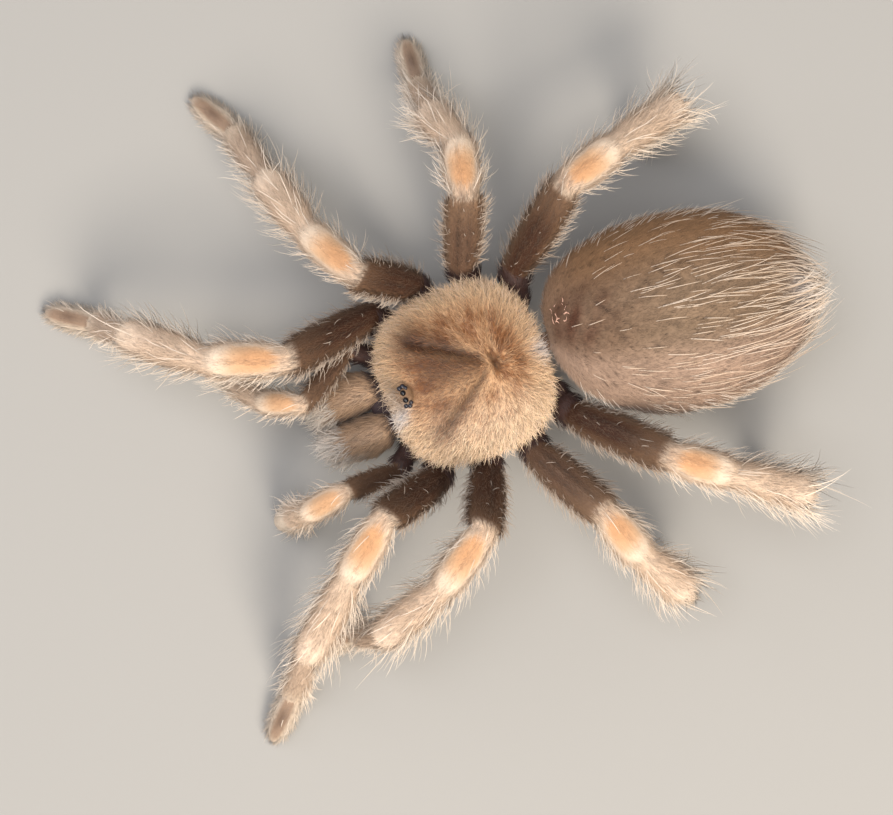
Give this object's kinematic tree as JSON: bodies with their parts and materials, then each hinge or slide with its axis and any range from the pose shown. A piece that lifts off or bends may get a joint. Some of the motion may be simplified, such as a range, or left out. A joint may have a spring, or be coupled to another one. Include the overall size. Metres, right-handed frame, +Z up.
{
  "type": "red knee tarantula model",
  "caption": "Still, life-size model of a subadult red knee tarantula standing on its feet with raised knees, palps forward and a full oval abdomen.",
  "frame": {"origin": "middle of the model's bounding box in plan, on the floor that its feet stand on", "axes": "the spider faces -Y, its left side is +X, +Z is up"},
  "size_m": [0.0614, 0.0668, 0.0172],
  "materials": {
    "carapace": "golden tan hair over cuticle, dense and matt",
    "underside": "dark brown short hair",
    "abdomen": "taupe velvet pile with long cream hairs",
    "chelicera": "grey-gold hair with pale tips",
    "fang": "black polished cuticle",
    "eye": "black glossy lens",
    "femur": "dark brown pile",
    "patella": "orange pile with a cream rim",
    "tibia": "beige pile with long cream hairs",
    "metatarsus": "grey-beige pile",
    "tarsus": "short beige pile with a brown stripe",
    "spinnerets": "brown short hair"
  },
  "bodies": {
    "root": {"abdomen": "abdomen", "carapace": "carapace", "chelicera_left": "chelicera", "chelicera_right": "chelicera", "eye_front_left": "eye", "eye_front_right": "eye", "eyes_side_left": "eye", "eyes_side_right": "eye", "fang_left": "fang", "fang_right": "fang", "leg_left_1_femur": "femur", "leg_left_1_patella": "patella", "leg_left_1_tibia": "tibia", "leg_left_1_metatarsus": "metatarsus", "leg_left_1_tarsus": "tarsus", "leg_left_2_femur": "femur", "leg_left_2_patella": "patella", "leg_left_2_tibia": "tibia", "leg_left_2_metatarsus": "metatarsus", "leg_left_2_tarsus": "tarsus", "leg_left_3_femur": "femur", "leg_left_3_patella": "patella", "leg_left_3_tibia": "tibia", "leg_left_3_metatarsus": "metatarsus", "leg_left_3_tarsus": "tarsus", "leg_left_4_femur": "femur", "leg_left_4_patella": "patella", "leg_left_4_tibia": "tibia", "leg_left_4_metatarsus": "metatarsus", "leg_left_4_tarsus": "tarsus", "leg_right_1_femur": "femur", "leg_right_1_patella": "patella", "leg_right_1_tibia": "tibia", "leg_right_1_metatarsus": "metatarsus", "leg_right_1_tarsus": "tarsus", "leg_right_2_femur": "femur", "leg_right_2_patella": "patella", "leg_right_2_tibia": "tibia", "leg_right_2_metatarsus": "metatarsus", "leg_right_2_tarsus": "tarsus", "leg_right_3_femur": "femur", "leg_right_3_patella": "patella", "leg_right_3_tibia": "tibia", "leg_right_3_metatarsus": "metatarsus", "leg_right_3_tarsus": "tarsus", "leg_right_4_femur": "femur", "leg_right_4_patella": "patella", "leg_right_4_tibia": "tibia", "leg_right_4_metatarsus": "metatarsus", "leg_right_4_tarsus": "tarsus", "palp_left_femur": "femur", "palp_left_patella": "patella", "palp_left_tibia": "tibia", "palp_left_tarsus": "tarsus", "palp_right_femur": "femur", "palp_right_patella": "patella", "palp_right_tibia": "tibia", "palp_right_tarsus": "tarsus", "spinnerets": "spinnerets", "sternum_and_coxae": "underside"}
  },
  "joints": []
}
